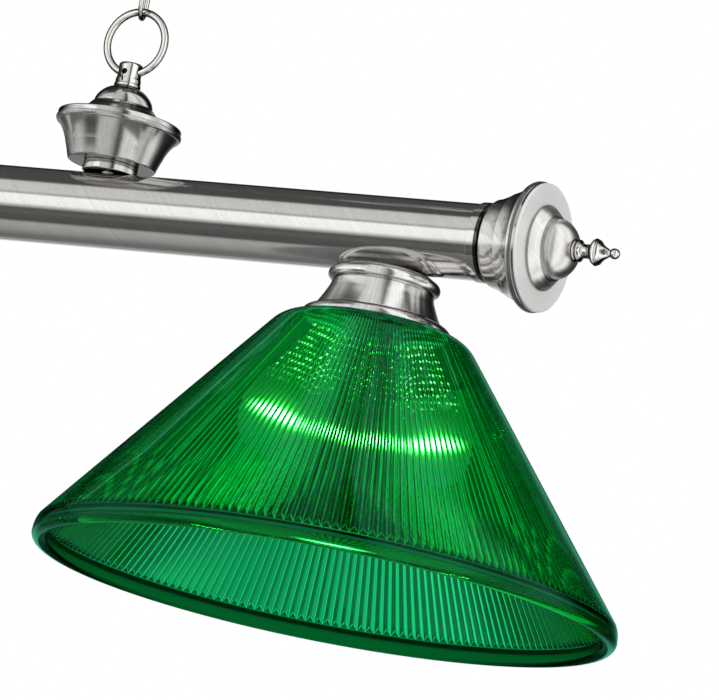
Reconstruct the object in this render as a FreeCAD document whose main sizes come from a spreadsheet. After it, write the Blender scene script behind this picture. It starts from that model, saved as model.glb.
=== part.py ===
import FreeCAD, Part
import math
import os
import Sketcher
from FreeCAD import Placement, Rotation, Vector

# Three-light pool table lamp: a straight tubular bar hung on two chains, with
# three conical shades below it.  Row frame: X along the bar, Z up, origin on
# the bar's axis half way along it.  Left is -X.  Millimetres throughout.
# On export everything is raised so that the shades' rims are level with z = 0.

doc = FreeCAD.newDocument("pool_table_lamp")

DIMS = [
    # shared
    ("sheet_wall", 0.8), ("fit_gap", 0.05), ("hole_clearance", 0.2),
    ("thread_radius", 5.0), ("thread_hole", 5.06), ("wire_bore", 3.3),
    ("nut_flats", 14.0), ("nut_thick", 5.0),
    # bar; the nipples and nuts inside it are measured from its axis
    ("shade_pitch", 571.0), ("hanger_offset", 368.0), ("tube_radius", 23.2),
    ("tube_wall", 1.5), ("tube_overrun", 64.0), ("nipple_end", 12.6), ("nut_start", 14.9),
    ("thread_reach", 5.4),
    # end cap, stations measured from the end shade's axis
    ("collar_start", 60.0), ("collar_radius", 24.3), ("collar_length", 8.0),
    ("collar_seat", 4.1), ("collar_bevel", 0.35),
    ("bell_start", 68.05), ("bell_length", 33.4), ("bell_radius", 39.4),
    ("plate_radius", 38.7), ("plate_thick", 1.6), ("plate_proud", 0.1),
    ("dome_radius", 25.7), ("dome_height", 20.2),
    ("finial_length", 29.9), ("finial_radius", 8.0),
    ("rod_radius", 2.0), ("rod_hole", 2.3), ("rod_inset", 10.0), ("rod_reach", 6.5),
    ("plug_inset", 8.0), ("plug_length", 11.0),
    # hanger on top of the bar
    ("seat_radius", 17.2), ("seat_height", 5.7),
    ("cup_radius", 39.2), ("cup_height", 26.9), ("cup_rim", 25.6), ("lid_height", 3.7),
    ("head_radius", 8.3), ("head_height", 16.2),
    ("ring_radius", 20.0), ("ring_wire", 2.35), ("ring_centre", 107.9),
    ("ring_clearance", 0.75), ("way_radius", 1.9), ("way_across", 9.0), ("way_down", 8.0),
    # chain
    ("link_length", 38.0), ("link_width", 20.0), ("link_wire", 1.5),
    ("chain_links", 9.0), ("link_turn", 18.5), ("contact_gap", 0.1),
    # ceiling
    ("canopy_radius", 63.5), ("canopy_height", 25.0),
    ("eye_radius", 10.0), ("eye_wire", 3.0), ("eye_sink", 1.2), ("eye_head_height", 11.0),
    ("eye_nipple_start", 4.4), ("ceiling_gap", 0.3),
    ("strap_length", 112.0), ("strap_width", 20.0), ("strap_thick", 1.6),
    ("strap_hole_offset", 22.0), ("strap_hole_radius", 1.7),
    ("box_screw_spacing", 88.9), ("slot_length", 14.0), ("slot_width", 4.6),
    # light
    ("fitter_top", 23.3), ("fitter_height", 33.9), ("fitter_radius", 46.0),
    ("holder_radius", 19.5), ("holder_top", 24.2), ("holder_bottom", 72.0),
    ("shell_seat", 20.4), ("contact_seat", 20.35),
    ("shade_radius", 177.8), ("shade_top", 57.4), ("shade_height", 167.4),
    ("shade_hole", 20.3), ("shade_wall", 3.2),
    ("shade_ring_radius", 27.5), ("shade_ring_height", 9.4),
    ("notch_offset", 28.3), ("notch_radius", 1.8),
    ("bulb_radius", 30.0), ("bulb_tip", 45.2), ("bulb_gap", 0.9), ("bulb_length", 110.0),
    ("glass_wall", 1.0),
    # wiring
    ("cord_radius", 2.6), ("lead_radius", 0.9),
]
VALUE = dict(DIMS)

sheet = doc.addObject("Spreadsheet::Sheet", "Dims")
for row, (alias, value) in enumerate(DIMS, 1):
    sheet.set("A%d" % row, alias)
    sheet.set("B%d" % row, str(value))
    sheet.setAlias("B%d" % row, alias)
doc.recompute()


# ---------------------------------------------------------------- sizes
class Size:
    """A linear mix of sheet cells: it has a value and an expression."""

    def __init__(self, terms=None, const=0.0):
        self.terms = dict(terms or {})
        self.const = float(const)

    def __add__(self, other):
        other = other if isinstance(other, Size) else Size(None, other)
        terms = dict(self.terms)
        for alias, factor in other.terms.items():
            terms[alias] = terms.get(alias, 0.0) + factor
        return Size(terms, self.const + other.const)

    def __mul__(self, factor):
        return Size({a: f * factor for a, f in self.terms.items()}, self.const * factor)

    __rmul__ = __mul__

    def __neg__(self):
        return self * -1.0

    def __sub__(self, other):
        return self + -other

    def __truediv__(self, divisor):
        return self * (1.0 / divisor)

    def __float__(self):
        return sum(VALUE[a] * f for a, f in self.terms.items()) + self.const

    def text(self):
        parts = ["Dims.%s * %.9g" % (a, f) if f != 1.0 else "Dims.%s" % a
                 for a, f in self.terms.items() if f]
        if self.const or not parts:
            parts.append("%.9g" % self.const)
        return " + ".join(parts).replace("+ -", "- ")


def dim(alias):
    return Size({alias: 1.0})


def scaled(size, reference):
    """A plain number becomes a fixed share of the sheet's reference size."""
    return size if isinstance(size, Size) else dim(reference) * (size / VALUE[reference])


def drive(obj, prop, size):
    """Set a property, and bind it to the sheet if its size comes from there."""
    setattr(obj, prop, float(size))
    if isinstance(size, Size):
        obj.setExpression(prop, size.text())


def bind(sketch, datums):
    for index, size in datums:
        if isinstance(size, Size):
            sketch.setExpression("Constraints[%d]" % index, size.text())


GAP = dim("fit_gap")
SHEET_WALL = VALUE["sheet_wall"]
OVERCUT = 1.0                       # how far a bore's tool stands out at each end
TURN = 2 * math.pi
ORIGIN = Vector(0, 0, 0)
X_AXIS, Y_AXIS, Z_AXIS = Vector(1, 0, 0), Vector(0, 1, 0), Vector(0, 0, 1)
# Rotations named by where they send a piece's own +Z.
DOWN = Rotation(X_AXIS, 180)
TO_RIGHT = Rotation(Y_AXIS, 90)
TO_LEFT = Rotation(Y_AXIS, -90)
TO_MINUS_Y = Rotation(X_AXIS, 90)
SIDES = (("left", -1.0), ("right", 1.0))
LAMPS = (("left", -1.0), ("middle", 0.0), ("right", 1.0))
PIECES = {}


def done(obj, name):
    """Label an object and list it for export."""
    obj.Label = name
    PIECES[name] = obj


def put(obj, base=(0, 0, 0), turn=None):
    """Place an object, each coordinate bound to the sheet where it is a Size."""
    obj.Placement = Placement(Vector(*[float(c) for c in base]), turn or Rotation())
    for axis, coordinate in zip("xyz", base):
        if isinstance(coordinate, Size):
            obj.setExpression("Placement.Base." + axis, coordinate.text())
    return obj


# ---------------------------------------------------------------- sketches
def origin_sketch(body, name, role):
    sketch = body.newObject("Sketcher::SketchObject", name)
    plane = [f for f in body.Origin.OriginFeatures if f.Role == role][0]
    sketch.AttachmentSupport = [(plane, "")]
    sketch.MapMode = "FlatFace"
    return sketch


def pin(sketch, geometry, position, x, y):
    """Fix a point of the sketch at (x, y); returns the datums to bind."""
    datums = []
    for kind, size, axis in (("DistanceX", x, -2), ("DistanceY", y, -1)):
        if abs(float(size)) < 1e-9:
            sketch.addConstraint(
                Sketcher.Constraint("PointOnObject", geometry, position, axis))
        else:
            index = sketch.addConstraint(
                Sketcher.Constraint(kind, -1, 1, geometry, position, float(size)))
            datums.append((index, size))
    return datums


def arc_centre(start, mid, end):
    across = 2 * (start.x * (end.y - mid.y) + end.x * (mid.y - start.y)
                  + mid.x * (start.y - end.y))
    start2, end2, mid2 = start.dot(start), end.dot(end), mid.dot(mid)
    x = (start2 * (end.y - mid.y) + end2 * (mid.y - start.y)
         + mid2 * (start.y - end.y)) / across
    y = (start2 * (mid.x - end.x) + end2 * (start.x - mid.x)
         + mid2 * (end.x - start.x)) / across
    return Vector(x, y, 0)


def outline(body, name, points, radius_ref, height_ref):
    """Closed outline of lines and arcs, every corner tied to the sheet.

    points: (r, z) for a line to that point, (r, z, rm, zm) for an arc to it
    through (rm, zm).  Plain numbers scale with the two reference sizes.
    """
    sketch = origin_sketch(body, name, "XZ_Plane")
    corners = [(scaled(p[0], radius_ref), scaled(p[1], height_ref)) for p in points]
    flat = [Vector(float(r), float(z), 0) for r, z in corners]
    curves, ends, radii = [], [], []
    for i, point in enumerate(points):
        start, end = flat[i - 1], flat[i]
        if len(point) == 2:
            curves.append(Part.LineSegment(start, end))
            ends.append((1, 2))
            radii.append(None)
            continue
        mid = Vector(point[2], point[3], 0)
        centre = arc_centre(start, mid, end)
        radius = (start - centre).Length
        first, through, last = [math.atan2(p.y - centre.y, p.x - centre.x)
                                for p in (start, mid, end)]
        sweep = (last - first) % TURN
        forward = (through - first) % TURN < sweep
        if not forward:
            first, sweep = last, (first - last) % TURN
        circle = Part.Circle(centre, Z_AXIS, radius)
        curves.append(Part.ArcOfCircle(circle, first, first + sweep))
        ends.append((1, 2) if forward else (2, 1))
        radii.append(radius)
    sketch.addGeometry(curves, False)
    count = len(points)
    for i in range(count):
        j = (i + 1) % count
        sketch.addConstraint(Sketcher.Constraint("Coincident", i, ends[i][1], j, ends[j][0]))
    datums = []
    for i in range(count):
        datums += pin(sketch, i, ends[i][1], *corners[i])
        if radii[i] and (flat[i - 1].x == 0.0 or flat[i].x == 0.0):
            # An arc that meets the axis is centred on it.
            sketch.addConstraint(Sketcher.Constraint("PointOnObject", i, 3, -2))
        elif radii[i]:
            index = sketch.addConstraint(Sketcher.Constraint("Radius", i, radii[i]))
            datums.append((index, scaled(radii[i], radius_ref)))
    bind(sketch, datums)
    return sketch


def circles(body, name, rings, role="XY_Plane"):
    """Sketch of circles (x, y, radius)."""
    sketch = origin_sketch(body, name, role)
    for i, (x, y, radius) in enumerate(rings):
        centre = Vector(float(x), float(y), 0)
        sketch.addGeometry(Part.Circle(centre, Z_AXIS, float(radius)), False)
        index = sketch.addConstraint(Sketcher.Constraint("Radius", i, float(radius)))
        bind(sketch, [(index, radius)] + pin(sketch, i, 3, x, y))
    return sketch


def skin(outer, wall):
    """Outline of a thin wall: the outer run, then its offset on the way back.

    A positive wall lies to the left of the run's direction.
    """
    points = [Vector(float(p[0]), float(p[1]), 0) for p in outer]
    mids = [Vector(p[2], p[3], 0) if len(p) == 4 else None for p in outer]
    last = len(points) - 1

    def left_of(along):
        return Vector(-along.y, along.x, 0)

    def directions(i):
        """Unit directions of segment i at its start and at its end."""
        start, end, mid = points[i - 1], points[i], mids[i]
        if mid is None:
            along = (end - start).normalize()
            return along, along
        centre = arc_centre(start, mid, end)
        leaving, arriving = left_of(start - centre), left_of(end - centre)
        if leaving.dot(mid - start) < 0:
            leaving, arriving = leaving * -1, arriving * -1
        return leaving.normalize(), arriving.normalize()

    def inner_point(i):
        normals = []
        if i > 0:
            normals.append(left_of(directions(i)[1]))
        if i < last:
            normals.append(left_of(directions(i + 1)[0]))
        offset = normals[0]
        if len(normals) == 2:
            both = normals[0] + normals[1]
            if both.Length > 0.5:
                offset = both * (2.0 / both.dot(both))
        if points[i].x == 0.0:
            return (0, points[i].y + math.copysign(1.0, offset.y) * wall)
        inner = points[i] + offset * wall
        return (inner.x, inner.y)

    def inner_mid(i):
        if mids[i] is None:
            return ()
        along = left_of(mids[i] - arc_centre(points[i - 1], mids[i], points[i]))
        if along.dot(points[i] - points[i - 1]) < 0:
            along = along * -1
        inner = mids[i] + left_of(along.normalize()) * wall
        return (inner.x, inner.y)

    back = [inner_point(last)]
    for i in range(last - 1, -1, -1):
        back.append(inner_point(i) + inner_mid(i + 1))
    return list(outer) + back


# ---------------------------------------------------------------- solids
def revolve(name, points, radius_ref, height_ref, base=(0, 0, 0), turn=None, stem=None):
    """Body turned about its own Z from a closed outline."""
    stem = stem or name
    body = doc.addObject("PartDesign::Body", name)
    sketch = outline(body, stem + "_profile", points, radius_ref, height_ref)
    turning = body.newObject("PartDesign::Revolution", stem + "_turn")
    turning.Profile = sketch
    turning.ReferenceAxis = (sketch, ["V_Axis"])
    turning.Angle = 360.0
    sketch.Visibility = False
    return put(body, base, turn)


def turned(name, *args):
    """A revolved body that is a piece by itself."""
    done(revolve(name, *args), name)


def extrude(body, name, sketch, length, midplane=False):
    pad = body.newObject("PartDesign::Pad", name)
    pad.Profile = sketch
    pad.Midplane = midplane
    drive(pad, "Length", length)
    doc.recompute()


def pierce(body, name, sketch, reverse=False, midplane=False):
    """Pocket through all: towards -Z, towards +Z if reversed, or both ways."""
    pocket = body.newObject("PartDesign::Pocket", name)
    pocket.Profile = sketch
    pocket.Type = 1
    pocket.Reversed = reverse
    pocket.Midplane = midplane
    doc.recompute()
    return pocket


def cylinder(name, radius, length, base=(0, 0, 0), turn=None):
    solid = doc.addObject("Part::Cylinder", name)
    drive(solid, "Radius", radius)
    drive(solid, "Height", length)
    return put(solid, base, turn)


def upright_torus(name, radius, wire, base):
    """Ring standing in the XZ plane."""
    solid = doc.addObject("Part::Torus", name)
    drive(solid, "Radius1", radius)
    drive(solid, "Radius2", wire)
    return put(solid, base, TO_MINUS_Y)


def cut(name, stock, tool):
    result = doc.addObject("Part::Cut", name)
    result.Base = stock
    result.Tool = tool
    return result


def bored(name, stock, bore, length, base, turn=None):
    tool = cylinder(name + "_bore", bore, length + 2 * OVERCUT, (0, 0, -OVERCUT))
    return put(cut(name, stock, tool), base, turn)


def sleeve(name, outer, inner, length, base, turn=None):
    stock = cylinder(name + "_stock", outer, length)
    return bored(name, stock, inner, length, base, turn)


def nipple(name, length, base):
    """Hollow threaded tube."""
    return sleeve(name, dim("thread_radius"), dim("wire_bore"), length, base)


def nut(name, base):
    stock = doc.addObject("Part::Prism", name + "_stock")
    stock.Polygon = 6
    drive(stock, "Circumradius", dim("nut_flats") / math.sqrt(3.0))
    drive(stock, "Height", dim("nut_thick"))
    return bored(name, stock, dim("thread_hole"), dim("nut_thick"), base)


def group(name, members):
    """Identical small parts as one piece, kept as separate solids."""
    compound = doc.addObject("Part::Compound", name + "_group")
    compound.Links = members
    done(compound, name)


def feature(name, solids, x=0.0):
    """Piece made of ready shapes, moved along the bar."""
    obj = doc.addObject("Part::Feature", name)
    obj.Shape = Part.makeCompound(solids)
    obj.Placement = Placement(Vector(x, 0, 0), Rotation())
    done(obj, name)


# ---------------------------------------------------------------- bar tube
def bar_tube():
    body = doc.addObject("PartDesign::Body", "bar_tube")
    section = circles(body, "bar_section",
                      [(0, 0, dim("tube_radius")),
                       (0, 0, dim("tube_radius") - dim("tube_wall"))], "YZ_Plane")
    extrude(body, "bar_length", section,
            (dim("shade_pitch") + dim("tube_overrun")) * 2, midplane=True)
    hole = dim("thread_hole") + dim("hole_clearance")
    below = circles(body, "socket_holes",
                    [(k * dim("shade_pitch"), 0, hole) for _, k in LAMPS])
    pierce(body, "socket_hole_cut", below)
    above = circles(body, "hanger_holes",
                    [(k * dim("hanger_offset"), 0, hole) for _, k in SIDES])
    pierce(body, "hanger_hole_cut", above, reverse=True)
    done(body, "bar_tube")


bar_tube()

# All outlines below are lists of (radius, height) for a line to that point, or
# (radius, height, radius, height) for an arc to the first pair through the
# second.  A RUN is one face of a sheet wall; skin() adds the other face.

# ---------------------------------------------------------------- end caps
tube_seat = dim("tube_radius") + GAP
bevel = dim("collar_bevel")
COLLAR = [
    (dim("collar_radius"), bevel), (dim("collar_radius"), dim("collar_length") - bevel),
    (dim("collar_radius") - bevel, dim("collar_length")),
    (dim("rod_hole"), dim("collar_length")), (dim("rod_hole"), dim("collar_seat")),
    (tube_seat, dim("collar_seat")), (tube_seat, 0.0), (dim("collar_radius") - bevel, 0.0),
]
BELL_RUN = [
    (dim("rod_hole"), 0.0), (22.9, 0.0), (22.9, 1.4), (25.0, 1.6),
    (26.8, 3.4, 26.3, 2.1), (31.4, 14.4, 28.6, 8.8), (37.5, 25.6, 34.1, 20.6),
    (39.3, 27.4, 38.7, 26.2), (39.4, 28.6, 39.5, 28.0), (38.9, 29.3, 39.3, 29.1),
    (38.8, 30.2), (38.8, 31.75),
]
PLATE = [
    (dim("plate_radius"), 0.0), (dim("plate_radius"), 1.1),
    (dim("plate_radius") - 0.5, dim("plate_thick")),
    (dim("rod_hole"), dim("plate_thick")), (dim("rod_hole"), 0.0),
]
# Knobbed outside, ending in a blind hole with a conical bottom for the rod.
FINIAL = [
    (0.0, 29.9), (1.5, 29.2, 0.8277, 29.716), (3.3, 26.3, 2.9, 27.9), (2.1, 23.9, 3.0, 24.9),
    (3.1, 21.6, 2.4, 22.8), (5.2, 18.2, 4.0, 20.0), (6.6, 16.6, 5.9, 17.6),
    (7.4, 16.2, 7.0, 16.45), (7.5, 15.3, 7.65, 15.8), (8.0, 14.8), (8.0, 13.7, 8.3, 14.2),
    (5.6, 12.0, 7.2, 12.5), (4.6, 10.0, 4.95, 11.1), (4.3, 7.2, 4.3, 8.6),
    (5.3, 4.6, 4.6, 5.6), (6.3, 3.9), (6.5, 2.8, 6.75, 3.4), (5.9, 2.2), (6.7, 1.7),
    (6.7, 0.3, 7.0, 1.0), (6.3, 0.0), (2.07, 0.0), (2.07, 7.5), (0.0, 8.5),
]


def dome(name, hole, base, turn=None):
    """Small stepped dome with a hole at its top; end caps and hangers share it."""
    run = [
        (hole, 20.2), (7.0, 20.2), (15.3, 15.4, 11.8, 18.4), (18.3, 9.5, 17.3, 12.6),
        (18.3, 8.6), (19.4, 8.0), (22.8, 4.4, 20.6, 6.5), (25.2, 1.6, 24.3, 2.7),
        (25.7, 0.8, 25.65, 1.3), (25.7, 0.0),
    ]
    turned(name, skin(run, -SHEET_WALL), "dome_radius", "dome_height", base, turn)


def end_cap(side, k):
    """One end of the bar, pieces facing outward; returns its plug and tie rod."""
    turn = TO_RIGHT if k > 0 else TO_LEFT

    def at(station):
        return (k * (dim("shade_pitch") + station), 0, 0)

    turned(side + "_end_collar", COLLAR, "collar_radius", "collar_length",
           at(dim("collar_start")), turn)
    turned(side + "_end_bell", skin(BELL_RUN, SHEET_WALL), "bell_radius", "bell_length",
           at(dim("bell_start")), turn)
    face = dim("bell_start") + dim("bell_length") + dim("plate_proud")
    turned(side + "_end_plate", PLATE, "plate_radius", "plate_thick",
           at(face - dim("plate_thick")), turn)
    dome_start = face + GAP
    dome(side + "_end_dome", dim("rod_hole"), at(dome_start), turn)
    finial_start = dome_start + dim("dome_height") + GAP
    turned(side + "_finial", FINIAL, "finial_radius", "finial_length",
           at(finial_start), turn)
    plug = sleeve(side + "_plug", dim("tube_radius") - dim("tube_wall") - GAP,
                  dim("rod_radius") + GAP, dim("plug_length"),
                  at(dim("collar_start") - dim("plug_inset")), turn)
    rod_start = dim("collar_start") - dim("rod_inset")
    rod = cylinder(side + "_rod", dim("rod_radius"),
                   finial_start + dim("rod_reach") - rod_start, at(rod_start), turn)
    return plug, rod


plugs, rods = zip(*[end_cap(side, k) for side, k in SIDES])
group("end_plugs", list(plugs))
group("tie_rods", list(rods))

# ---------------------------------------------------------------- hangers
SEAT = [
    (16.8, 0.0), (17.2, 0.6, 17.08, 0.2), (17.2, 5.1), (16.9, 5.7, 17.1, 5.55),
    (dim("thread_hole"), 5.7), (dim("thread_hole"), 0.0),
]
CUP_RUN = [
    (dim("thread_hole"), 0.0), (26.6, 0.0), (27.7, 0.7, 27.35, 0.15), (30.6, 9.4, 29.0, 5.0),
    (37.3, 21.8, 33.4, 16.2), (39.0, 23.1, 38.5, 22.2), (39.2, 24.2, 39.25, 23.6),
    (38.7, 25.0, 39.1, 24.8), (38.7, dim("cup_rim")),
]
LID = [
    (38.6, 0.0), (38.6, 1.6), (37.6, 3.0, 38.4, 2.6),
    (26.2, dim("lid_height"), 32.0, 3.5), (dim("thread_hole"), dim("lid_height")),
    (dim("thread_hole"), 2.7), (36.2, 1.6), (36.2, 0.0),
]
LOOP_HEAD = [
    (7.3, 0.0), (8.3, 1.2, 8.1, 0.4), (7.9, 2.6, 8.3, 2.0), (7.9, 5.0),
    (7.3, 8.6, 7.4, 6.8), (7.5, 13.4, 7.25, 11.0), (6.3, 15.6, 7.2, 14.8),
    (0.0, 16.2, 3.164, 16.05), (0.0, 5.6), (dim("thread_hole"), 5.6), (dim("thread_hole"), 0.0),
]
SLIT_SIZE = (1.3, 2.2, 7.2)         # along X, Y, Z
SLIT_Y = -9.0                       # its -Y face
SLIT_DROP = 6.4                     # its lower end, below the ring's lowest point


def hanger_loop(side, x, z):
    """Turned head, cross-bored on the ring's curve, with a wireway."""
    stock = revolve(side + "_loop_stock", LOOP_HEAD, "head_radius", "head_height",
                    (x, 0, z), None, side + "_loop")
    eye = upright_torus(side + "_loop_eye", dim("ring_radius"),
                        dim("ring_wire") + dim("ring_clearance"),
                        (x, 0, dim("ring_centre")))
    ring_low = dim("ring_centre") - dim("ring_radius")
    way = cylinder(side + "_loop_way", dim("way_radius"), dim("way_across"),
                   (x, 0, ring_low), TO_MINUS_Y)
    drop = cylinder(side + "_loop_drop", dim("way_radius"), dim("way_down"),
                    (x, 0, ring_low - dim("way_down")))
    slit = doc.addObject("Part::Box", side + "_loop_slot")
    slit.Length, slit.Width, slit.Height = SLIT_SIZE
    put(slit, (x - SLIT_SIZE[0] / 2, SLIT_Y, ring_low - SLIT_DROP))
    tools = doc.addObject("Part::MultiFuse", side + "_loop_cutters")
    tools.Shapes = [eye, way, drop, slit]
    done(cut(side + "_loop", stock, tools), side + "_hanger_loop")


def hanger(side, k):
    """Stack on top of the bar; returns its nipple and its nut inside the bar."""
    x = k * dim("hanger_offset")
    turned(side + "_hanger_collar", SEAT, "seat_radius", "seat_height", (x, 0, tube_seat))
    cup_z = tube_seat + dim("seat_height") + GAP
    turned(side + "_hanger_cup", skin(CUP_RUN, SHEET_WALL), "cup_radius", "cup_height",
           (x, 0, cup_z))
    lid_z = cup_z + dim("cup_rim") + GAP
    turned(side + "_hanger_lid", LID, "cup_radius", "cup_height", (x, 0, lid_z))
    dome_z = lid_z + dim("lid_height") + GAP
    dome(side + "_hanger_dome", dim("thread_hole"), (x, 0, dome_z))
    head_z = dome_z + dim("dome_height") + GAP
    hanger_loop(side, x, head_z)
    # The ring that hangs from the chain and carries the loop.
    ring = upright_torus(side + "_hanger_ring", dim("ring_radius"), dim("ring_wire"),
                         (x, 0, dim("ring_centre")))
    done(ring, side + "_hanger_ring")
    return (nipple(side + "_hang_nipple", head_z + dim("thread_reach") - dim("nipple_end"),
                   (x, 0, dim("nipple_end"))),
            nut(side + "_hang_nut", (x, 0, dim("nut_start"))))


hanger_nipples, hanger_nuts = zip(*[hanger(side, k) for side, k in SIDES])
group("hanger_nipples", list(hanger_nipples))

# ---------------------------------------------------------------- chain
# Lengths between wire centres; heights of wire centres.
link_span = dim("link_length") - 2 * dim("link_wire")
bend_radius = dim("link_width") / 2 - dim("link_wire")
link_pitch = link_span - 2 * dim("link_wire") - dim("contact_gap")
chain_foot = (dim("ring_centre") + dim("ring_radius") - dim("ring_wire")
              - dim("link_wire") - dim("contact_gap"))
LINK_COUNT = int(VALUE["chain_links"])
SPAN, PITCH, FOOT = float(link_span), float(link_pitch), float(chain_foot)


def link_shape():
    """One long link, centred, standing in its own XZ plane."""
    bend, wire = float(bend_radius), VALUE["link_wire"]
    reach = SPAN / 2 - bend
    straights = [Part.makeCylinder(wire, 2 * reach, Vector(x, 0, -reach))
                 for x in (bend, -bend)]
    bends = []
    for z, flip in ((reach, 0), (-reach, 180)):
        half_ring = Part.makeTorus(bend, wire, ORIGIN, Z_AXIS, 0, 360, 180)
        half_ring.rotate(ORIGIN, X_AXIS, 90)
        half_ring.rotate(ORIGIN, Y_AXIS, flip)
        half_ring.translate(Vector(0, 0, z))
        bends.append(half_ring)
    return straights[0].multiFuse([straights[1]] + bends).removeSplitter().Solids[0]


LINK = link_shape()


def link_at(n):
    """Link n of a chain at x = 0, 1 at the ceiling; neighbours stand crosswise."""
    low = FOOT + (LINK_COUNT - n) * PITCH
    angle = VALUE["link_turn"] + (90.0 if n % 2 else 0.0)
    link = LINK.copy()
    link.Placement = Placement(Vector(0, 0, low + SPAN / 2), Rotation(Z_AXIS, angle))
    return link


for side, k in SIDES:
    x = k * VALUE["hanger_offset"]
    feature(side + "_top_link", [link_at(1)], x)
    feature(side + "_chain", [link_at(n) for n in range(2, LINK_COUNT + 1)], x)

# ---------------------------------------------------------------- ceiling
chain_top = chain_foot + (LINK_COUNT - 1) * link_pitch + link_span
eye_mid = (chain_top - dim("link_wire") - dim("eye_wire") - dim("contact_gap")
           + dim("eye_radius"))
eye_head_z = eye_mid + dim("eye_radius") - dim("eye_sink")
ceiling = eye_head_z + dim("eye_head_height") + GAP + dim("canopy_height")

CANOPY_RUN = [
    (dim("thread_hole"), 25.0), (20.5, 25.0), (22.5, 23.4, 22.0, 24.6), (22.9, 20.4),
    (24.2, 18.6), (33.0, 14.6, 28.6, 16.3), (48.0, 9.6, 41.0, 12.6), (59.6, 4.6, 54.6, 6.4),
    (62.6, 3.9, 61.2, 4.3), (63.5, 2.9, 63.3, 3.5), (63.5, 0.0),
]
EYE_HEAD = [
    (0.0, 0.0), (6.2, 0.0), (7.2, 1.4, 6.9, 0.5), (7.3, 5.2, 7.15, 3.4),
    (9.0, 8.2, 7.8, 6.9), (11.4, 9.0, 10.3, 8.8), (11.9, 10.2, 12.0, 9.5),
    (11.4, dim("eye_head_height"), 11.8, 10.8), (dim("thread_hole"), dim("eye_head_height")),
    (dim("thread_hole"), 4.2), (0.0, 4.2),
]


def strap_outline(strap, name):
    """Rectangle centred on the origin."""
    sketch = origin_sketch(strap, name, "XY_Plane")
    half_x, half_y = VALUE["strap_length"] / 2, VALUE["strap_width"] / 2
    corners = [Vector(x * half_x, y * half_y, 0)
               for x, y in ((-1, -1), (1, -1), (1, 1), (-1, 1))]
    sketch.addGeometry([Part.LineSegment(corners[i], corners[(i + 1) % 4])
                        for i in range(4)], False)
    for i in range(4):
        sketch.addConstraint(Sketcher.Constraint("Coincident", i, 2, (i + 1) % 4, 1))
    for i in (0, 2):
        sketch.addConstraint(Sketcher.Constraint("Horizontal", i))
        sketch.addConstraint(Sketcher.Constraint("Vertical", i + 1))
    sketch.addConstraint(Sketcher.Constraint("Symmetric", 0, 1, 2, 1, -1, 1))
    along = sketch.addConstraint(Sketcher.Constraint("DistanceX", 0, 1, 0, 2, 2 * half_x))
    across = sketch.addConstraint(Sketcher.Constraint("DistanceY", 1, 1, 1, 2, 2 * half_y))
    bind(sketch, [(along, dim("strap_length")), (across, dim("strap_width"))])
    return sketch


def strap_slots(strap, name):
    """Two round-ended slots for the outlet box's screws."""
    sketch = origin_sketch(strap, name, "XY_Plane")
    radius = VALUE["slot_width"] / 2
    reach = (dim("slot_length") - dim("slot_width")) / 2
    for slot, sign in enumerate((-1.0, 1.0)):
        middle = sign * dim("box_screw_spacing") / 2
        low, high = float(middle - reach), float(middle + reach)
        first = 4 * slot
        sketch.addGeometry([
            Part.LineSegment(Vector(low, -radius, 0), Vector(high, -radius, 0)),
            Part.ArcOfCircle(Part.Circle(Vector(high, 0, 0), Z_AXIS, radius),
                             -math.pi / 2, math.pi / 2),
            Part.LineSegment(Vector(high, radius, 0), Vector(low, radius, 0)),
            Part.ArcOfCircle(Part.Circle(Vector(low, 0, 0), Z_AXIS, radius),
                             math.pi / 2, 3 * math.pi / 2),
        ], False)
        for i in range(4):
            sketch.addConstraint(
                Sketcher.Constraint("Tangent", first + i, 2, first + (i + 1) % 4, 1))
        sketch.addConstraint(Sketcher.Constraint("PointOnObject", first + 1, 3, -1))
        sketch.addConstraint(Sketcher.Constraint("Horizontal", first))
        index = sketch.addConstraint(Sketcher.Constraint("Radius", first + 1, radius))
        bind(sketch, [(index, dim("slot_width") / 2)])
        for arc, centre in ((first + 1, middle + reach), (first + 3, middle - reach)):
            index = sketch.addConstraint(
                Sketcher.Constraint("DistanceX", -1, 1, arc, 3, float(centre)))
            bind(sketch, [(index, centre)])
    return sketch


def mounting_strap(side, x):
    """Flat bar under the ceiling with a centre hole, a small hole and two slots."""
    strap = doc.addObject("PartDesign::Body", side + "_strap")
    extrude(strap, side + "_strap_sheet", strap_outline(strap, side + "_strap_outline"),
            dim("strap_thick"))
    holes = circles(strap, side + "_strap_holes",
                    [(0, 0, dim("thread_hole") + dim("hole_clearance")),
                     (dim("strap_hole_offset"), 0, dim("strap_hole_radius"))])
    pierce(strap, side + "_strap_bore", holes, midplane=True)
    pierce(strap, side + "_strap_slot_cut", strap_slots(strap, side + "_strap_slots"),
           midplane=True)
    put(strap, (x, 0, ceiling - dim("strap_thick")))
    done(strap, side + "_mounting_strap")


def ceiling_mount(side, k):
    """Canopy, its loop and its strap; returns the nipple and the nut."""
    x = k * dim("hanger_offset")
    turned(side + "_canopy", skin(CANOPY_RUN, -SHEET_WALL), "canopy_radius",
           "canopy_height", (x, 0, ceiling), DOWN)
    stock = revolve(side + "_eye_stock", EYE_HEAD, "eye_radius", "eye_radius",
                    (x, 0, eye_head_z), None, side + "_eye")
    eye = upright_torus(side + "_eye_ring", dim("eye_radius"), dim("eye_wire"),
                        (x, 0, eye_mid))
    loop = doc.addObject("Part::MultiFuse", side + "_eye")
    loop.Shapes = [stock, eye]
    done(loop, side + "_canopy_loop")
    mounting_strap(side, x)
    nipple_z = eye_head_z + dim("eye_nipple_start")
    nut_z = ceiling - dim("strap_thick") - dim("nut_thick") - GAP
    return (nipple(side + "_ceiling_nipple", ceiling - dim("ceiling_gap") - nipple_z,
                   (x, 0, nipple_z)),
            nut(side + "_ceiling_nut", (x, 0, nut_z)))


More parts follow.
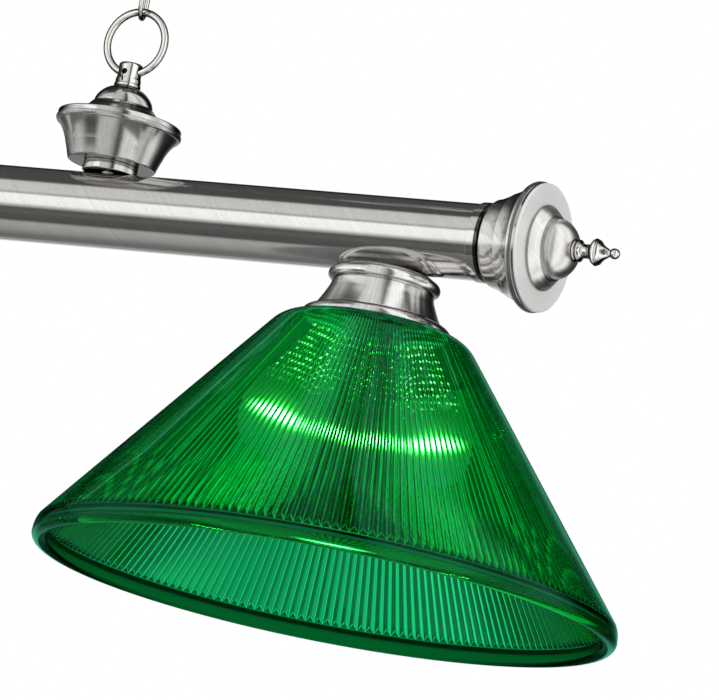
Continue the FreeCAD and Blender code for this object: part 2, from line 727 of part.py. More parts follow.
canopy_nipples, canopy_nuts = zip(*[ceiling_mount(side, k) for side, k in SIDES])
group("canopy_nipples", list(canopy_nipples))
group("canopy_locknuts", list(canopy_nuts))

# ---------------------------------------------------------------- lights
# These outlines are drawn upward and hung upside down.
FITTER_RUN = [
    (dim("thread_hole"), 0.0), (26.5, 0.0), (30.6, 2.3, 29.0, 0.9), (34.3, 6.3, 33.2, 3.6),
    (31.0, 10.1, 33.1, 9.2), (33.4, 17.4, 31.9, 13.9), (38.8, 27.6, 35.9, 22.6),
    (39.4, 28.4), (42.4, 29.2, 41.0, 28.5), (45.2, 31.6, 44.1, 30.2), (46.0, 33.9, 45.8, 32.8),
]
HOLDER = [
    (dim("thread_hole"), 0.0), (16.9, 0.0), (18.5, 1.6, 18.0, 0.45), (18.5, 25.0),
    (19.5, 26.0), (19.5, 47.2), (18.9, 47.8), (13.75, 47.8), (13.75, 20.3),
    (5.3, 20.3), (5.3, 18.0), (12.5, 18.0), (12.5, 6.0), (dim("thread_hole"), 6.0),
]
SCREW_SHELL = [(13.7, 0.0), (13.7, 22.4), (13.3, 22.4), (13.3, 0.0)]
CONTACT = [(0.0, 0.0), (5.2, 0.0), (5.2, 0.5), (2.6, 0.6), (0.0, 1.1, 1.3238, 0.974)]
CROWN_RADIUS = 44.0                 # flat top of the shade
SHOULDER_RADIUS = 23.7              # bend from the crown into the cone
SHOULDER_ANGLE = math.radians(52.2)
RIM_BEAD = [
    (177.8, 161.2, 177.3, 157.4), (173.2, 167.4, 176.6, 165.8),
    (168.2, 161.6, 169.6, 166.0), (168.9, 155.4, 168.2, 158.4),
]
BEAD_DEPTH = 5.4                    # the wall's inner face stops this far short of its end
SHADE_RING = [
    (19.62, 0.0), (27.0, 0.0), (27.5, 0.6, 27.4, 0.2), (27.5, 1.9), (27.0, 2.5, 27.4, 2.35),
    (23.2, 3.0), (23.0, 9.0), (22.4, 9.4), (19.62, 9.4),
]
NOTCH_COUNT = 18
BULB_BASE = [
    (0.0, 0.0), (3.4, 0.0), (4.0, 0.5), (4.2, 1.3), (8.0, 3.0), (11.6, 4.4), (12.85, 5.4),
    (12.85, 20.6), (13.15, 21.4), (13.15, 24.6), (0.0, 24.6),
]
GLASS_RUN = [
    (0.0, 110.0), (30.0, 80.0, 21.2132, 101.2132), (27.6, 68.0, 29.395, 73.89),
    (20.8, 51.6, 24.6, 59.6), (15.0, 36.4, 17.6, 43.8), (13.1, 24.7, 13.5, 30.4),
]


def shade_profile():
    """Cone wall with a flat crown, a rounded shoulder and a thick rolled rim."""
    def on_shoulder(angle):
        return (CROWN_RADIUS + SHOULDER_RADIUS * math.sin(angle),
                SHOULDER_RADIUS * (1 - math.cos(angle)))

    run = [
        (dim("shade_hole"), 0.0), (CROWN_RADIUS, 0.0),
        on_shoulder(SHOULDER_ANGLE) + on_shoulder(SHOULDER_ANGLE / 2),
        (176.0, 153.9),
    ]
    inner = skin(run, VALUE["shade_wall"])[len(run):]
    (rim_r, rim_z), (shoulder_r, shoulder_z) = inner[0], inner[1]
    share = 1.0 - BEAD_DEPTH / (rim_z - shoulder_z)
    wall_end = (shoulder_r + (rim_r - shoulder_r) * share,
                shoulder_z + (rim_z - shoulder_z) * share)
    return run + RIM_BEAD + [wall_end] + inner[1:]


def shade_ring(side, x):
    """Retaining ring: turned, then notched round its flange for grip."""
    ring = revolve(side + "_shade_ring", SHADE_RING, "shade_ring_radius",
                   "shade_ring_height", stem=side + "_ring")
    doc.recompute()
    plain_volume = ring.Shape.Volume
    sketch = circles(ring, side + "_ring_notch",
                     [(dim("notch_offset"), 0, dim("notch_radius"))])
    notch = pierce(ring, side + "_ring_notch_cut", sketch, reverse=True)
    pattern = ring.newObject("PartDesign::PolarPattern", side + "_ring_notches")
    pattern.Originals = [notch]
    pattern.Axis = (sketch, ["N_Axis"])
    pattern.Angle = 360.0
    pattern.Occurrences = NOTCH_COUNT
    ring.Tip = pattern
    doc.recompute()
    if not ring.Shape.Volume < plain_volume - 10.0:
        raise RuntimeError("the retaining ring's notches cut nothing")
    put(ring, (x, 0, -dim("shade_top") - dim("shade_wall") - GAP), DOWN)
    done(ring, side + "_shade_ring")


def light(side, k):
    """One lamp; returns its members of the grouped pieces."""
    x = k * dim("shade_pitch")

    def below(depth):
        return (x, 0, -depth)

    def holder_part(name, points, depth):
        return revolve(side + name, points, "holder_radius", "holder_bottom",
                       below(depth), DOWN)

    turned(side + "_socket_cup", skin(FITTER_RUN, SHEET_WALL), "fitter_radius",
           "fitter_height", below(dim("fitter_top")), DOWN)
    holder = holder_part("_lampholder", HOLDER, dim("holder_top"))
    shell = holder_part("_screw_shell", SCREW_SHELL, dim("holder_top") + dim("shell_seat"))
    contact = holder_part("_contact", CONTACT, dim("holder_top") + dim("contact_seat"))
    turned(side + "_shade", SHADE, "shade_radius", "shade_height",
           below(dim("shade_top")), DOWN)
    shade_ring(side, x)
    bulb_at = below(dim("bulb_tip") + dim("bulb_gap"))
    turned(side + "_bulb_base", BULB_BASE, "bulb_radius", "bulb_length", bulb_at, DOWN)
    turned(side + "_bulb_glass", skin(GLASS_RUN, -VALUE["glass_wall"]), "bulb_radius",
           "bulb_length", bulb_at, DOWN)
    nipple_low = dim("holder_top") + dim("thread_reach")
    tube = nipple(side + "_sock_nipple", nipple_low - dim("nipple_end"), below(nipple_low))
    locknut = nut(side + "_sock_nut", below(dim("nut_start") + dim("nut_thick")))
    return holder, shell, contact, tube, locknut


SHADE = shade_profile()
holders, shells, contacts, socket_nipples, socket_nuts = zip(
    *[light(side, k) for side, k in LAMPS])
group("lampholders", list(holders))
group("screw_shells", list(shells))
group("centre_contacts", list(contacts))
group("socket_nipples", list(socket_nipples))
group("bar_locknuts", list(hanger_nuts + socket_nuts))

# ---------------------------------------------------------------- wiring
LEAD_OFFSET = 1.25                  # each lead from its nipple's axis
LEAD_BEND = 4.0
LEAD_TOP = 70.0                     # upper end, inside the left hanger
LEAD_LEVEL = 3.0                    # runs along the bar, above or below its axis
LEAD_DEPTH = 13.0                   # lower ends, below the lampholder's top
CORD_COIL = 7.0                     # radius of the cord's helix
CORD_START = 0.35                   # in link pitches above the chain's foot
CORD_SHORT = 2.2                    # links the cord's rise falls short of the count


def swept(spine, radius, start, along):
    """Round wire along a spine from its starting point and direction."""
    profile = Part.Wire([Part.makeCircle(radius, start, along)])
    return spine.makePipeShell([profile], True, True)


def lead(points):
    """Wire along a polyline whose corners are right angles, rounded off."""
    edges, here = [], points[0]
    for before, corner, after in zip(points, points[1:], points[2:]):
        back, ahead = (before - corner).normalize(), (after - corner).normalize()
        arc_start, arc_end = corner + back * LEAD_BEND, corner + ahead * LEAD_BEND
        arc_mid = corner + (back + ahead) * (LEAD_BEND * (1 - math.sqrt(0.5)))
        edges.append(Part.makeLine(here, arc_start))
        edges.append(Part.Arc(arc_start, arc_mid, arc_end).toShape())
        here = arc_end
    edges.append(Part.makeLine(here, points[-1]))
    return swept(Part.Wire(edges), VALUE["lead_radius"], points[0],
                 (points[1] - points[0]).normalize())


def bar_wiring():
    """Pairs of leads: left hanger to left lamp, then lamp to lamp."""
    hanger_x, lamp_x = VALUE["hanger_offset"], VALUE["shade_pitch"]
    low = -(VALUE["holder_top"] + LEAD_DEPTH)
    # start x, start z, z along the bar, end x
    runs = (
        (-hanger_x, LEAD_TOP, LEAD_LEVEL, -lamp_x - LEAD_OFFSET),
        (-lamp_x + LEAD_OFFSET, low, -LEAD_LEVEL, -LEAD_OFFSET),
        (LEAD_OFFSET, low, -LEAD_LEVEL, lamp_x),
    )
    feature("bar_wiring", [
        lead([Vector(start_x, y, start_z), Vector(start_x, y, level),
              Vector(end_x, y, level), Vector(end_x, y, low)])
        for y in (-LEAD_OFFSET, LEAD_OFFSET)
        for start_x, start_z, level, end_x in runs])


def supply_cord():
    """Cord wound along the left chain, a quarter turn per link."""
    helix = Part.makeHelix(4 * PITCH, (LINK_COUNT - CORD_SHORT) * PITCH, CORD_COIL)
    angle = VALUE["link_turn"] + 90.0 * (CORD_START - SPAN / 2 / PITCH)
    helix.rotate(ORIGIN, Z_AXIS, angle)
    helix.translate(Vector(0, 0, FOOT + CORD_START * PITCH))
    spine = Part.Wire(helix.Edges)
    edge = spine.Edges[0]
    start = edge.FirstParameter
    cord = swept(spine, VALUE["cord_radius"], edge.valueAt(start), edge.tangentAt(start))
    feature("supply_cord", [cord], -VALUE["hanger_offset"])


bar_wiring()
supply_cord()

# ---------------------------------------------------------------- check, write
doc.recompute()
for obj in doc.Objects:
    if any(flag in ("Invalid", "Error") for flag in obj.State):
        raise RuntimeError("%s failed: %s" % (obj.Label, obj.State))
for name, obj in PIECES.items():
    shape = obj.Shape
    if shape.isNull() or not shape.isValid():
        raise RuntimeError("%s has no valid shape" % name)
    if not shape.Solids or any(s.Volume <= 0 for s in shape.Solids):
        raise RuntimeError("%s has an empty or inside-out solid" % name)

rim_depth = VALUE["shade_top"] + VALUE["shade_height"]
os.makedirs("parts", exist_ok=True)
for name, obj in PIECES.items():
    shape = obj.Shape.copy()
    shape.translate(Vector(0, 0, rim_depth))
    shape.exportStep("parts/%s.step" % name)
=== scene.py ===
"""Three-light bar pendant: a nickel bar hung from two chains, with three ribbed green shades.

The bar lies along X, lamps hang down -Z from it and the front is towards -Y. The CAD pieces
get materials; the shades are built here. Metres, except the shade's profile, in mm.
"""
import math
import bpy
import bmesh
import numpy as np
from mathutils import Matrix, Vector


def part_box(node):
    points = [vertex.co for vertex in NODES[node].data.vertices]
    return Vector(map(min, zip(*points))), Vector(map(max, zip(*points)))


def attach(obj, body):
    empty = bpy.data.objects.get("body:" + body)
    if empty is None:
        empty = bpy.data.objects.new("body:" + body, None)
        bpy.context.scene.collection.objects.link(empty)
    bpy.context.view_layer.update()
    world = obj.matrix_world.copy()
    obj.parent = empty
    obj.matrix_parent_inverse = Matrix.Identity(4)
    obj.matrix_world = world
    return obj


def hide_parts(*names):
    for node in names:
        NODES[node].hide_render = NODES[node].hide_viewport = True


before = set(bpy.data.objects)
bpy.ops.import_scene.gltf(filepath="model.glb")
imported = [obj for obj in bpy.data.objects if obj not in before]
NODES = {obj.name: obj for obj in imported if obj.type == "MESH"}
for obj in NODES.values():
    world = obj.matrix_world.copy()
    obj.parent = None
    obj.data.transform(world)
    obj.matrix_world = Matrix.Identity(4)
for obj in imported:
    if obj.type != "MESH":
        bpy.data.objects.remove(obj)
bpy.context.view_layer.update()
AXIS = (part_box("bar_tube")[0][2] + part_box("bar_tube")[1][2]) / 2      # height of the bar's axis
scene = bpy.context.scene

PITCH = 0.571          # shade axis to shade axis
HANG = 0.368           # hanger axis from the middle
RIBS = 200             # ribs round a shade
SHADE_DROP = 0.0574    # bar axis down to a shade's crown
BULB_DROP = 0.1325     # bar axis down to a bulb's middle
FLOOR_DROP = 1.75      # bar axis down to the floor
FLOOR_HALF = 400.0
SIDES = (("left", -1), ("right", 1))
LAMPS = (("left", -1), ("middle", 0), ("right", 1))


# ------------------------------------------------------------------ node help
class Tree:
    """Short ways to add nodes; any value may be a number, a tuple or an output socket."""

    def __init__(self, tree):
        self.tree = tree

    def add(self, kind, inputs=None, **settings):
        node = self.tree.nodes.new(kind)
        for name, value in settings.items():
            setattr(node, name, value)
        for socket, value in (inputs or {}).items():
            self.set(node.inputs[socket], value)
        return node

    def set(self, socket, value):
        if isinstance(value, bpy.types.NodeSocket):
            self.tree.links.new(value, socket)
        else:
            socket.default_value = value

    def math(self, operation, a, b=0.0, clamp=False):
        return self.add("ShaderNodeMath", {0: a, 1: b, 2: 0.0},
                        operation=operation, use_clamp=clamp).outputs[0]

    def plus(self, total, *terms):
        for term in terms:
            total = self.math("ADD", total, term)
        return total

    def minus(self, a, b):
        return self.math("SUBTRACT", a, b)

    def mul(self, a, b, clamp=False):
        return self.math("MULTIPLY", a, b, clamp)

    def hypot(self, a, b):
        return self.math("SQRT", self.plus(self.mul(a, a), self.mul(b, b)))

    def centred(self, noise, amount):
        """Noise moved to swing about 0."""
        return self.mul(self.minus(noise, 0.5), amount)

    def rise(self, value, start, gain):
        """0 up to start, then climbing to 1."""
        return self.mul(self.minus(value, start), gain, clamp=True)

    def fall(self, value, end, gain):
        """1 at first, dropping to 0 at end."""
        return self.mul(self.minus(end, value), gain, clamp=True)

    def rings(self, z, pitch, power):
        """Bands across z, narrower as power grows."""
        wave = self.math("COSINE", self.mul(z, 2 * math.pi / pitch))
        return self.math("POWER", self.plus(self.mul(wave, 0.5), 0.5), power)

    def mix(self, factor, a, b):
        return self.add("ShaderNodeMix", {0: factor, 6: a, 7: b}, data_type="RGBA").outputs[2]

    def ramp(self, factor, stops):
        """Colour ramp through stops of (place, (red, green, blue))."""
        node = self.add("ShaderNodeValToRGB", {0: factor})
        elements = node.color_ramp.elements
        while len(elements) < len(stops):
            elements.new(0.5)
        for element, (place, colour) in zip(elements, stops):
            element.position = place
            element.color = (*colour, 1.0)
        return node.outputs[0]

    def noise(self, vector, scale, detail, rough):
        return self.add("ShaderNodeTexNoise", {
            "Vector": vector, "Scale": scale, "Detail": detail, "Roughness": rough}).outputs[0]

    def position(self):
        return self.add("ShaderNodeTexCoord").outputs["Object"]

    def xyz(self, x, y, z):
        return self.add("ShaderNodeCombineXYZ", {0: x, 1: y, 2: z}).outputs[0]

    def split(self, vector):
        return self.add("ShaderNodeSeparateXYZ", {0: vector}).outputs

    def scaled(self, colour, factor):
        return self.add("ShaderNodeVectorMath", {0: colour, "Scale": factor},
                        operation="SCALE").outputs[0]

    def bump(self, height, strength, distance):
        return self.add("ShaderNodeBump", {
            "Strength": strength, "Distance": distance, "Height": height}).outputs[0]

    def facing(self):
        """0 where a surface faces the eye, 1 at its outline."""
        return self.add("ShaderNodeLayerWeight", {"Blend": 0.5}).outputs["Facing"]

    def principled(self, inputs):
        """A Principled surface, linked to the material output."""
        shader = self.add("ShaderNodeBsdfPrincipled", inputs)
        self.add("ShaderNodeOutputMaterial", {0: shader.outputs[0]})


def new_material(name):
    material = bpy.data.materials.new(name)
    material.use_nodes = True
    material.node_tree.nodes.clear()
    return material, Tree(material.node_tree)


def edge_dark(t, factor, edge):
    """Darkens a polished metal towards its outline, as a dark studio behind it does.

    edge is the facing value where it starts, the one where it ends, and the least factor.
    """
    start, end, least = edge
    dark = t.rise(t.facing(), start, 1 / (end - start))
    return t.mul(factor, t.minus(1.0, t.mul(dark, 1 - least)))


def from_metal(t):
    """1 for a ray that reached this surface straight off a mirror-like one."""
    path = t.add("ShaderNodeLightPath")
    fresh = t.math("LESS_THAN", path.outputs["Transmission Depth"], 0.5)
    return t.mul(path.outputs["Is Glossy Ray"], fresh)


def dim_in_metal(t, power, share):
    """Takes away a share of a glow where metal mirrors it."""
    return t.mul(power, t.minus(1.0, t.mul(from_metal(t), share)))


# ------------------------------------------------------------------ materials
def turned_nickel(name, axis, rough, centre_x=0.0, base=(0.66, 0.65, 0.635), brush=1.0,
                  grain=1.0, metallic=1.0, streaks=0.0, groove_shadows=(), shadow_spots=(), edge=None):
    """Turned, brushed nickel with fine lines round its X axis, or its Z axis at centre_x.

    brush, grain and streaks are the strengths of the lines, the pebbling and the marks
    along the axis. The groove list gives painted shadows in grooves and creases, as
    (from, to, depth) along the axis; the spot list gives the places along a bar above
    a lamp, where its underside gets a painted shadow.
    """
    material, t = new_material(name)
    position = t.position()
    x, y, z = t.split(position)
    if axis == "Z":
        across, height, along = t.minus(x, centre_x), t.minus(y, 0.0), z
    else:
        across, height, along = y, z, x
    angle = t.math("ARCTAN2", height, across)
    radius = t.hypot(across, height)
    arc_length = t.mul(angle, 0.03)
    # where on the profile: along the axis and across it together
    profile = t.plus(along, t.mul(radius, 0.9))

    fine = t.noise(t.xyz(t.mul(profile, 2300.0), t.mul(arc_length, 90.0), 0.0),
                   scale=1.0, detail=3.0, rough=0.62)
    wide = t.noise(t.xyz(t.mul(profile, 620.0), t.mul(arc_length, 30.0), 3.0),
                   scale=1.0, detail=2.0, rough=0.5)
    pebble = t.noise(position, scale=1500.0, detail=2.0, rough=0.6)
    cloud = t.noise(position, scale=38.0, detail=4.0, rough=0.6)
    smudge = t.noise(position, scale=240.0, detail=3.0, rough=0.55)
    shade = t.plus(t.centred(fine, 0.34 * brush), t.centred(wide, 0.16 * brush),
                   t.centred(pebble, 0.22 * grain), t.centred(cloud, 0.10))
    if streaks:
        streak = t.noise(t.xyz(t.mul(angle, 34.0), t.mul(profile, 60.0), 7.0),
                         scale=1.0, detail=4.0, rough=0.7)
        shade = t.plus(shade, t.centred(streak, streaks))
    # painted shadow in grooves and creases: each band along the axis is made darker
    for start, end, depth in groove_shadows:
        away = t.math("ABSOLUTE", along)
        inside = t.mul(t.math("GREATER_THAN", away, start), t.math("LESS_THAN", away, end))
        shade = t.minus(shade, t.mul(inside, depth))
    for place in shadow_spots:
        # painted shadow under the bar above a lamp: an ellipse, half sizes 26 mm along the bar and
        # 19 mm across, with a soft edge
        reach = t.hypot(t.mul(t.minus(along, place), 1 / 0.026), t.mul(across, 1 / 0.0190))
        dark = t.fall(reach, end=1.06, gain=1 / 0.16)
        dark = t.mul(dark, t.math("LESS_THAN", height, AXIS))
        shade = t.minus(shade, t.mul(dark, 0.46))
    value = t.plus(1.0, shade)
    if edge:
        value = edge_dark(t, value, edge)
    roughness = t.plus(rough, t.centred(fine, 0.10 * brush), t.centred(smudge, 0.05))
    tangent = t.add("ShaderNodeTangent", direction_type="RADIAL", axis=axis)
    t.principled({
        "Base Color": t.scaled(base, value),
        "Metallic": metallic,
        "Roughness": t.math("MAXIMUM", roughness, 0.02),
        "Anisotropic": 0.5,
        "Anisotropic Rotation": 0.25,
        "Tangent": tangent.outputs[0],
        "Normal": t.bump(fine, strength=0.12 * brush, distance=0.00002)})
    return material


def plain_metal(name, base, rough, scale=260.0, mottle=0.1, edge=None):
    """Metal with no grain direction, mottled at the noise scale."""
    material, t = new_material(name)
    position = t.position()
    patches = t.noise(position, scale, detail=5.0, rough=0.6)
    grain = t.noise(position, scale * 6, detail=3.0, rough=0.6)
    value = t.plus(1.0, t.centred(patches, mottle))
    if edge:
        value = edge_dark(t, value, edge)
    roughness = t.plus(rough, t.centred(patches, 0.08))
    t.principled({
        "Base Color": t.scaled(base, value),
        "Metallic": 1.0,
        "Roughness": t.math("MAXIMUM", roughness, 0.02),
        "Normal": t.bump(grain, strength=0.12, distance=0.00002)})
    return material


def smooth_solid(name, base, rough, scale=900.0, coat=0.0):
    """Plastic or glazed porcelain, faintly uneven."""
    material, t = new_material(name)
    position = t.position()
    grain = t.noise(position, scale, detail=3.0, rough=0.6)
    patches = t.noise(position, scale * 0.1, detail=3.0, rough=0.6)
    t.principled({
        "Base Color": t.scaled(base, t.plus(0.94, t.mul(patches, 0.12))),
        "Roughness": t.plus(rough - 0.04, t.mul(patches, 0.08)),
        "Coat Weight": coat,
        "Normal": t.bump(grain, strength=0.2, distance=0.00005)})
    return material


def acrylic():
    """Clear green moulded acrylic that darkens with thickness."""
    # heights in the shade's own frame, crown at 0
    bead_top, bead_fade = -0.1558, 0.0006
    crease_foot = -0.1535
    slope_foot, slope_rise, slope_limit = 0.156194, 0.003148, -0.1562
    absorption = (215.0, 50.0, 95.0)       # per metre, by channel

    material, t = new_material("green_acrylic")
    position = t.position()
    cloud = t.noise(position, scale=9.0, detail=3.0, rough=0.5)
    fine = t.noise(position, scale=520.0, detail=2.0, rough=0.5)
    tint = t.mix(cloud, (0.12, 0.82, 0.48, 1), (0.14, 0.86, 0.525, 1))

    # painted shade: the thick bead gets a darker tint where a ray comes in by its inner face
    x, y, z = t.split(position)
    geometry = t.add("ShaderNodeNewGeometry")
    normal_x, normal_y, _ = t.split(geometry.outputs["Normal"])
    backfacing = geometry.outputs["Backfacing"]
    outward = t.plus(t.mul(normal_x, x), t.mul(normal_y, y))
    inner = t.mul(t.math("LESS_THAN", outward, 0.0), t.minus(1.0, backfacing))
    bead = t.fall(z, end=bead_top, gain=1 / bead_fade)

    # painted shadow: the bottom of each groove, a crease, gets a darker tint
    front_sign = t.minus(1.0, t.mul(backfacing, 2.0))
    within = t.math("LESS_THAN", t.mul(outward, front_sign), 0.0)
    turn = t.mul(t.math("ARCTAN2", y, x), RIBS / (2 * math.pi))
    from_valley = t.math("ABSOLUTE", t.minus(t.math("FRACT", turn), 0.5))      # in ribs
    crease = t.fall(from_valley, end=0.115, gain=1 / 0.045)
    ribbed = t.mul(t.math("GREATER_THAN", z, crease_foot), within)
    tint = t.mix(t.mul(t.mul(crease, ribbed), 0.62), tint, (0.0, 0.10, 0.02, 1))

    # painted shade too on the slopes that the grooves run out in
    climb = t.mul(t.plus(z, slope_foot), 1 / slope_rise)
    slope = t.minus(t.mul(t.minus(1.0, climb), 0.5), from_valley)
    slope = t.mul(t.mul(slope, 14.0, clamp=True),
                  t.mul(within, t.math("GREATER_THAN", z, slope_limit)))
    # painted shade: the darker tint for the slopes and the bead's inner face
    painted_shade = t.math("MAXIMUM", slope, t.mul(inner, bead))
    tint = t.mix(painted_shade, tint, (0.015, 0.135, 0.065, 1))

    glass = t.add("ShaderNodeBsdfGlass", {
        "Color": tint, "IOR": 1.49, "Roughness": t.mul(fine, 0.006)})
    # metal mirrors the shade as a plain grey solid
    solid = t.add("ShaderNodeBsdfDiffuse", {0: (0.25, 0.25, 0.25, 1)})
    surface = t.add("ShaderNodeMixShader", {
        0: from_metal(t), 1: glass.outputs[0], 2: solid.outputs[0]})
    # the volume node absorbs (1 - colour) * density per metre
    density = max(absorption) * 1.02
    volume = t.add("ShaderNodeVolumeAbsorption", {
        "Color": (*(1 - k / density for k in absorption), 1), "Density": density})
    t.add("ShaderNodeOutputMaterial", {0: surface.outputs[0], 1: volume.outputs[0]})
    return material


def bulb_glow():
    """Frosted bulb: hottest round its middle, fading towards the cap."""
    material, t = new_material("bulb_frost_lit")
    z = t.minus(t.split(t.position())[2], AXIS - BULB_DROP)

    def bell(width, power):
        q = t.mul(z, 1 / width)
        return t.mul(t.math("EXPONENT", t.mul(t.mul(q, q), -1.0)), power)

    # the filament shows through the frosting straight towards the eye
    core = t.math("POWER", t.minus(1.0, t.facing()), 7.0)
    hot = t.plus(bell(width=0.0026, power=210.0), bell(width=0.0080, power=4.0))
    # painted glints: broken rings of light up the neck, standing in for the screw shell shining
    # through
    speck = t.noise(t.position(), scale=330.0, detail=3.0, rough=0.6)
    ring = t.mul(t.rings(z, pitch=0.0043, power=9.0), t.rise(speck, start=0.50, gain=9.0))
    neck = t.rise(z, start=0.019, gain=1 / 0.012)
    power = t.plus(t.mul(hot, core), bell(width=0.016, power=0.35), 0.06,
                   t.mul(t.mul(ring, neck), 22.0))
    t.principled({
        "Base Color": (0.9, 0.88, 0.82, 1),
        "Roughness": 0.35,
        "Emission Color": (4.4, 0.72, 0.25, 1),
        "Emission Strength": dim_in_metal(t, power, share=0.97)})
    return material


def lit(material, colour, least, most):
    """Paints a glow onto a part beside the bulb, standing in for the bulb's light on it: a wash,
    with painted glints in rings a thread apart.
    """
    t = Tree(material.node_tree)
    shader = next(n for n in t.tree.nodes if n.type == "BSDF_PRINCIPLED")
    position = t.position()
    ring = t.rings(t.split(position)[2], pitch=0.0036, power=3.0)
    speck = t.noise(position, scale=420.0, detail=3.0, rough=0.6)
    ring = t.mul(ring, t.rise(speck, start=0.36, gain=5.0))
    power = t.plus(least, t.mul(ring, most - least))
    t.set(shader.inputs["Emission Color"], (*colour, 1))
    t.set(shader.inputs["Emission Strength"], dim_in_metal(t, power, share=0.9))
    return material


# ------------------------------------------------------------------ painting
# part, roughness, painted shadows in grooves and creases (from, to, depth), tone, edge
END_PARTS = (
    ("end_collar", 0.07, ((0.6365, 0.6400, 0.9),), 0.66, None),
    ("end_bell", 0.12, ((0.6380, 0.6412, 0.93), (0.6672, 0.6692, 0.7), (0.6692, 0.6720, 0.3)),
     0.70, (0.6, 0.95, 0.3)),
    ("end_dome", 0.30, ((0.6726, 0.6742, 0.55), (0.6796, 0.6812, 0.6), (0.6812, 0.6838, 0.28)),
     0.90, (0.66, 0.88, 0.10)),
)
# part, roughness, brush, tone, streaks, edge
HANGER_PARTS = (
    ("hanger_collar", 0.08, 0.4, 0.66, 0.0, None),
    ("hanger_cup", 0.18, 0.8, 0.56, 0.6, (0.50, 0.80, 0.10)),
    ("hanger_lid", 0.08, 0.6, 0.68, 0.0, (0.30, 0.62, 0.08)),
    ("hanger_dome", 0.12, 0.7, 0.60, 0.2, (0.36, 0.66, 0.06)),
)
POLISHED_PARTS = ("finial", "hanger_loop", "hanger_ring", "top_link", "chain", "canopy_loop")
ZINC_PARTS = ("left_mounting_strap", "right_mounting_strap", "end_plugs", "tie_rods",
              "hanger_nipples", "socket_nipples", "canopy_nipples", "bar_locknuts",
              "canopy_locknuts")


def paint(node, material):
    materials = NODES[node].data.materials
    materials.clear()
    materials.append(material)


def warm(tone):
    """A slightly warm grey."""
    return (tone, tone * 0.985, tone * 0.965)


def paint_side(side, hanger_x):
    """The bar's end and the hanger on one side."""
    for part, rough, groove_shadows, tone, edge in END_PARTS:
        paint(f"{side}_{part}", turned_nickel(
            f"nickel_{side}_{part}", "X", rough, base=warm(tone), groove_shadows=groove_shadows, edge=edge))
    paint(side + "_end_plate", turned_nickel(
        f"nickel_{side}_plate", "X", rough=0.32, base=(0.93, 0.925, 0.915), brush=0.3,
        grain=0.4, metallic=0.15))
    for part, rough, brush, tone, streaks, edge in HANGER_PARTS:
        paint(f"{side}_{part}", turned_nickel(
            f"nickel_{side}_{part}", "Z", rough, hanger_x, base=warm(tone), brush=brush,
            streaks=streaks, edge=edge))
    paint(side + "_canopy", turned_nickel(f"nickel_{side}_canopy", "Z", 0.15, hanger_x))


def paint_fitter(side, lamp_x):
    """The socket cup and the ring that keeps a shade on it."""
    paint(side + "_socket_cup", turned_nickel(
        f"nickel_{side}_fitter", "Z", 0.19, lamp_x, base=(0.84, 0.83, 0.815), brush=0.6,
        streaks=0.9, edge=(0.47, 0.70, 0.15)))
    keeper = turned_nickel(f"nickel_{side}_keeper", "Z", 0.25, lamp_x)
    # the keeper glows with painted bulb light
    paint(side + "_shade_ring", lit(keeper, (1.0, 0.8, 0.5), least=0.06, most=1.2))


def paint_parts():
    for side, sign in SIDES:
        paint_side(side, sign * HANG)
    for side, place in LAMPS:
        paint_fitter(side, place * PITCH)
    # painted shadow on the bar's underside above each lamp
    paint("bar_tube", turned_nickel("nickel_bar", "X", rough=0.12, brush=0.9, grain=1.5,
                                    shadow_spots=[place * PITCH for _, place in LAMPS]))
    polished = plain_metal("polished_nickel", (0.93, 0.905, 0.87), rough=0.06,
                           edge=(0.13, 0.38, 0.02))
    for side, _ in SIDES:
        for part in POLISHED_PARTS:
            paint(f"{side}_{part}", polished)
    zinc = plain_metal("zinc_steel", (0.55, 0.56, 0.58), rough=0.32, scale=90.0, mottle=0.25)
    for part in ZINC_PARTS:
        paint(part, zinc)
    brass = plain_metal("lamp_brass", (0.80, 0.58, 0.28), rough=0.25, scale=120.0, mottle=0.2)
    paint("screw_shells", brass)
    paint("centre_contacts", brass)
    porcelain = smooth_solid("glazed_porcelain", (0.86, 0.85, 0.80), rough=0.18, scale=300.0,
                             coat=0.5)
    # the lampholders glow with painted bulb light, brightest in rings
    paint("lampholders", lit(porcelain, (1.0, 0.85, 0.6), least=0.10, most=1.6))
    paint("bar_wiring", smooth_solid("lead_insulation", (0.05, 0.05, 0.055), rough=0.45))
    paint("supply_cord", smooth_solid("cord_jacket", (0.62, 0.62, 0.60), rough=0.3,
                                      scale=700.0, coat=0.3))
    cap = plain_metal("bulb_cap", (0.78, 0.78, 0.79), rough=0.3, scale=150.0, mottle=0.2)
    # the bulb cap glows with painted bulb light
    lit(cap, (1.0, 0.8, 0.5), least=0.2, most=2.0)
    glow = bulb_glow()
    for side, _ in LAMPS:
        paint(side + "_bulb_base", cap)
        paint(side + "_bulb_glass", glow)


# ------------------------------------------------------------------ the shade
# The profile is (radius, depth below the crown) in mm.
HOLE = 20.3                        # radius of the crown's hole
FLAT = 44.0                        # radius of the flat crown
SHOULDER = 23.7                    # outer radius of the bend below the crown
SLANT = math.radians(52.2)         # turn of the bend
CONE_END = (176.0, 153.9)          # outer face, wide end
LIP_SIDE = (177.8, 161.2)
LIP_FOOT = (173.2, 167.4)
LIP_INNER = (168.2, 161.6)
WALL = 4.1                         # cone thickness
CROWN_WALL = 3.2                   # crown thickness
RIB_FOOT = 0.3                     # rib ends above the cone's wide end
RAMP = 4.0                         # length of the slope each groove ends in
RAMP_STEPS = 6
BEND_STEPS = 8                     # down the ribbed inside of the bend

# across one rib: place in the pitch, coarse columns fall on every fourth
ACROSS = [0, .045, .09, .17, .25, .33, .41, .455, .5, .545, .59, .67, .75, .83, .91, .955]
ROUND = 0.085          # rounding of crest and valley, in pitches
RIB_DEPTH = 0.315      # groove depth, in pitches


